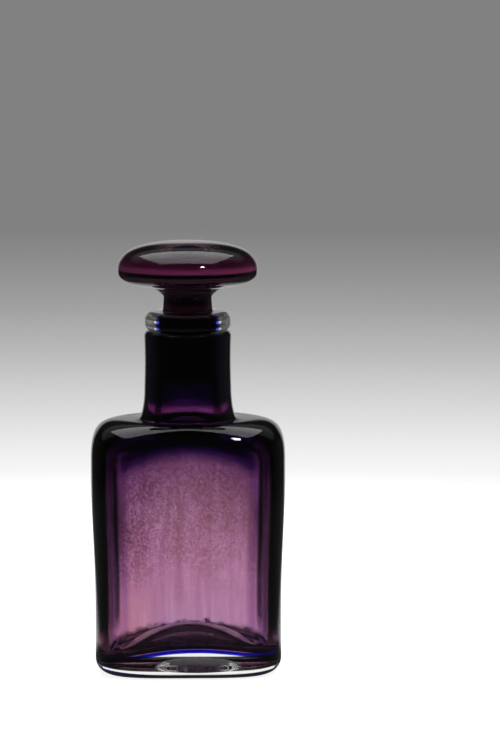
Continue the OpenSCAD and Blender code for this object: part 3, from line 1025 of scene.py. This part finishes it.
def make_world(studio):
    """A pale background that fades from white below to grey above, in a dark studio."""
    world = bpy.data.worlds.new("studio")
    bpy.context.scene.world = world
    nodes = emptied(world)
    way = nodes.axes(nodes.add("ShaderNodeTexCoord").outputs["Generated"])
    across, back, up = way["X"], way["Y"], way["Z"]
    rise = nodes.math("SUBTRACT", up, BACKDROP_FOOT)
    rise = nodes.math("DIVIDE", rise, BACKDROP_H, clamp=True)
    backdrop = nodes.ramp(rise, [(at, (linear(shade),) * 3) for at, shade in BACKDROP])
    path, shown = seen_directly(nodes)
    bent = path["Is Transmission Ray"]
    window = nodes.between(back, nodes.pick(bent, *WINDOW_START), nodes.pick(bent, *WINDOW_WHOLE))
    window = nodes.times(window, nodes.between(up, *WINDOW_TOP), nodes.pick(bent, WINDOW_GLOSS, 1.0))
    near, far = CARD_ASIDE
    cards = nodes.math("ADD", nodes.between(across, near, far, 0.0, studio.right_card),
                       nodes.between(across, -near, -far, 0.0, studio.left_card))
    low = nodes.overlap((up, *CARD_TOP), (back, *CARD_BACK))
    cards = nodes.times(cards, low, nodes.pick(bent, CARD_GLOSS, 1.0))
    grey = nodes.overlap((back, *GREY_BACK), (up, *GREY_UP, 0.0, studio.upper_grey))
    behind = nodes.math("ADD", window, nodes.math("ADD", cards, grey))
    behind = nodes.math("ADD", behind, studio.around, clamp=True)
    fill = nodes.shader("Background", Color=WHITE, Strength=studio.fill)
    glow = nodes.shader("Background", Color=WHITE, Strength=behind)
    seen = nodes.blend(shown, fill, glow)
    seen = nodes.blend(path["Is Camera Ray"], seen, nodes.shader("Background", Color=backdrop))
    nodes.add("ShaderNodeOutputWorld", {"Surface": seen})


# The table: its radius, its sides, its grey, and where it fades out into the background
TABLE_R, TABLE_SIDES, TABLE_GREY, TABLE_FADE = 1.6, 96, (0.8, 0.8, 0.8), (0.45, 0.75)
# What glass shows of it is painted shadow save a white strip behind the bottle: how wide and how far
# back the strip is white, how white it is, and how dark the painted shadow is
WHITE_WIDE, WHITE_BACK, WHITE_MORE, SHADOW_LEAST = (0.06, 0.20, 1.0, 0.0), (0.03, 0.08), 0.92, 0.08


def make_floor(studio):
    """A round white table that fades into the background and keeps the bottle's shadow; what glass
    shows of it is a painted shadow save a white strip behind.
    """
    material, nodes, place = new_material("white_table")
    at = nodes.axes(place)
    path, shown = seen_directly(nodes)
    matt = nodes.shader("BsdfDiffuse", Color=TABLE_GREY)
    lit = nodes.shader("Emission", Color=WHITE, Strength=studio.table_glow)
    both = nodes.add("ShaderNodeAddShader", {0: matt, 1: lit}).outputs[0]
    # Seen through glass the table is a painted shadow of the bottle, dark save a white strip behind it
    aside = nodes.math("ABSOLUTE", at["X"])
    strip = nodes.overlap((aside, *WHITE_WIDE), (at["Y"], *WHITE_BACK))
    glow = nodes.math("MULTIPLY_ADD", strip, WHITE_MORE, SHADOW_LEAST)
    inside = nodes.shader("Emission", Color=WHITE, Strength=glow)
    body = nodes.blend(shown, matt, nodes.blend(path["Is Camera Ray"], inside, both))
    fade = nodes.between(nodes.reach(place), *TABLE_FADE)
    table = nodes.blend(fade, body, nodes.shader("BsdfTransparent", Color=WHITE))
    nodes.add("ShaderNodeOutputMaterial", {"Surface": table})
    rim = turned([(TABLE_R, 0.0)], TABLE_SIDES)[0]
    faces = [(0, 1 + i, 1 + (i + 1) % TABLE_SIDES) for i in range(TABLE_SIDES)]
    floor = solid("floor", [(0.0, 0.0, 0.0), *rim], faces, material)
    floor.location.z = -FILM


# The sensor in millimetres, the near and far limits of view, the height of the render in
# points, and how many points the bottle stands left of and below its middle
SENSOR, CLIP, RENDER_H, BOTTLE_PLACE = 36.0, (0.01, 50.0), 750, (62.7, 79.8)
# The softbox over the bottle and the lamp in front on the right: place, aim and size
SOFTBOX = ((-0.025, 0.20, 1.0), (-0.025, 0.20, 0.0), 1.05)
LAMP = ((0.50, -0.96, 1.13), (0.0, 0.0, 0.2), 0.16)
SOFTBOX_DEPTH = 1.10
# How often light may be bent, reflected and passed on inside the glass
BOUNCES = {
    "max_bounces": 48, "transmission_bounces": 40, "glossy_bounces": 24,
    "transparent_max_bounces": 64,
}


def light(name, where, aim, size, brightness, size_y=None):
    """A soft lamp of a given brightness, pointed at a place: round, or as deep as size_y."""
    lamp = bpy.data.lights.new(name, "AREA")
    lamp.shape = "DISK" if size_y is None else "RECTANGLE"
    lamp.size = size
    area = math.pi * size * size / 4
    if size_y is not None:
        lamp.size_y = size_y
        area = size * size_y
    lamp.energy = brightness * math.pi * area
    holder = in_scene(name, lamp)
    holder.location = where
    holder.rotation_euler = (Vector(aim) - Vector(where)).to_track_quat("-Z", "Y").to_euler()
    holder.visible_camera = False


def make_camera(scene, studio):
    """The camera in front of the bottle, turned a little so that the bottle stands low and left."""
    lift = math.radians(studio.elevation)
    data = bpy.data.cameras.new("camera")
    data.lens, data.sensor_width = studio.lens, SENSOR
    data.clip_start, data.clip_end = CLIP
    camera = in_scene("camera", data)
    aim = Vector((0.0, 0.0, studio.aim_h))
    camera.location = aim + studio.distance * Vector((0.0, -math.cos(lift), math.sin(lift)))
    pixel = studio.lens / SENSOR * RENDER_H
    left, low = (math.atan(shift / pixel) for shift in BOTTLE_PLACE)
    camera.rotation_euler = (math.pi / 2 - lift + low, 0.0, -left)
    scene.camera = camera


class GLASSBOTTLE_OT_stage(Operator):
    """Makes the floor, the background, the lamps and the camera"""

    bl_idname = "glassbottle.stage"
    bl_label = "Stage"

    def execute(self, context):
        studio = context.scene.studio_settings
        make_world(studio)
        make_floor(studio)
        light("softbox", *SOFTBOX, studio.softbox, SOFTBOX_DEPTH)
        light("lamp", *LAMP, studio.lamp)
        make_camera(context.scene, studio)
        context.scene.view_settings.view_transform = "Standard"
        for name, count in BOUNCES.items():
            setattr(context.scene.cycles, name, count)
        return {"FINISHED"}


class GLASSBOTTLE_PT_sidebar(Panel):
    """Sizes, colours and pieces of the bottle"""

    bl_idname = "GLASSBOTTLE_PT_sidebar"
    bl_label = "Glass bottle"
    bl_space_type = "VIEW_3D"
    bl_region_type = "UI"
    bl_category = "Glass bottle"

    def draw(self, context):
        for name in GROUPS:
            settings = getattr(context.scene, name)
            box = self.layout.box()
            box.label(text=name.replace("_", " ").capitalize())
            for key in type(settings).__annotations__:
                box.prop(settings, key)
        for operator in OPERATORS:
            self.layout.operator(operator.bl_idname)


GROUPS = {
    "bottle_sizes": BottleSizes,
    "stopper_sizes": StopperSizes,
    "glass_colours": GlassColours,
    "studio_settings": StudioSettings,
}
OPERATORS = (
    GLASSBOTTLE_OT_casing,
    GLASSBOTTLE_OT_lining,
    GLASSBOTTLE_OT_stopper_glass,
    GLASSBOTTLE_OT_cap,
    GLASSBOTTLE_OT_core,
    GLASSBOTTLE_OT_stage,
)
CLASSES = (*GROUPS.values(), *OPERATORS, GLASSBOTTLE_PT_sidebar)


def register():
    for cls in CLASSES:
        bpy.utils.register_class(cls)
    for name, group in GROUPS.items():
        setattr(bpy.types.Scene, name, PointerProperty(type=group))


def unregister():
    for name in GROUPS:
        delattr(bpy.types.Scene, name)
    for cls in reversed(CLASSES):
        bpy.utils.unregister_class(cls)


def main():
    register()
    for operator in OPERATORS:
        folder, name = operator.bl_idname.split(".")
        getattr(getattr(bpy.ops, folder), name)()


if __name__ == "__main__":
    main()
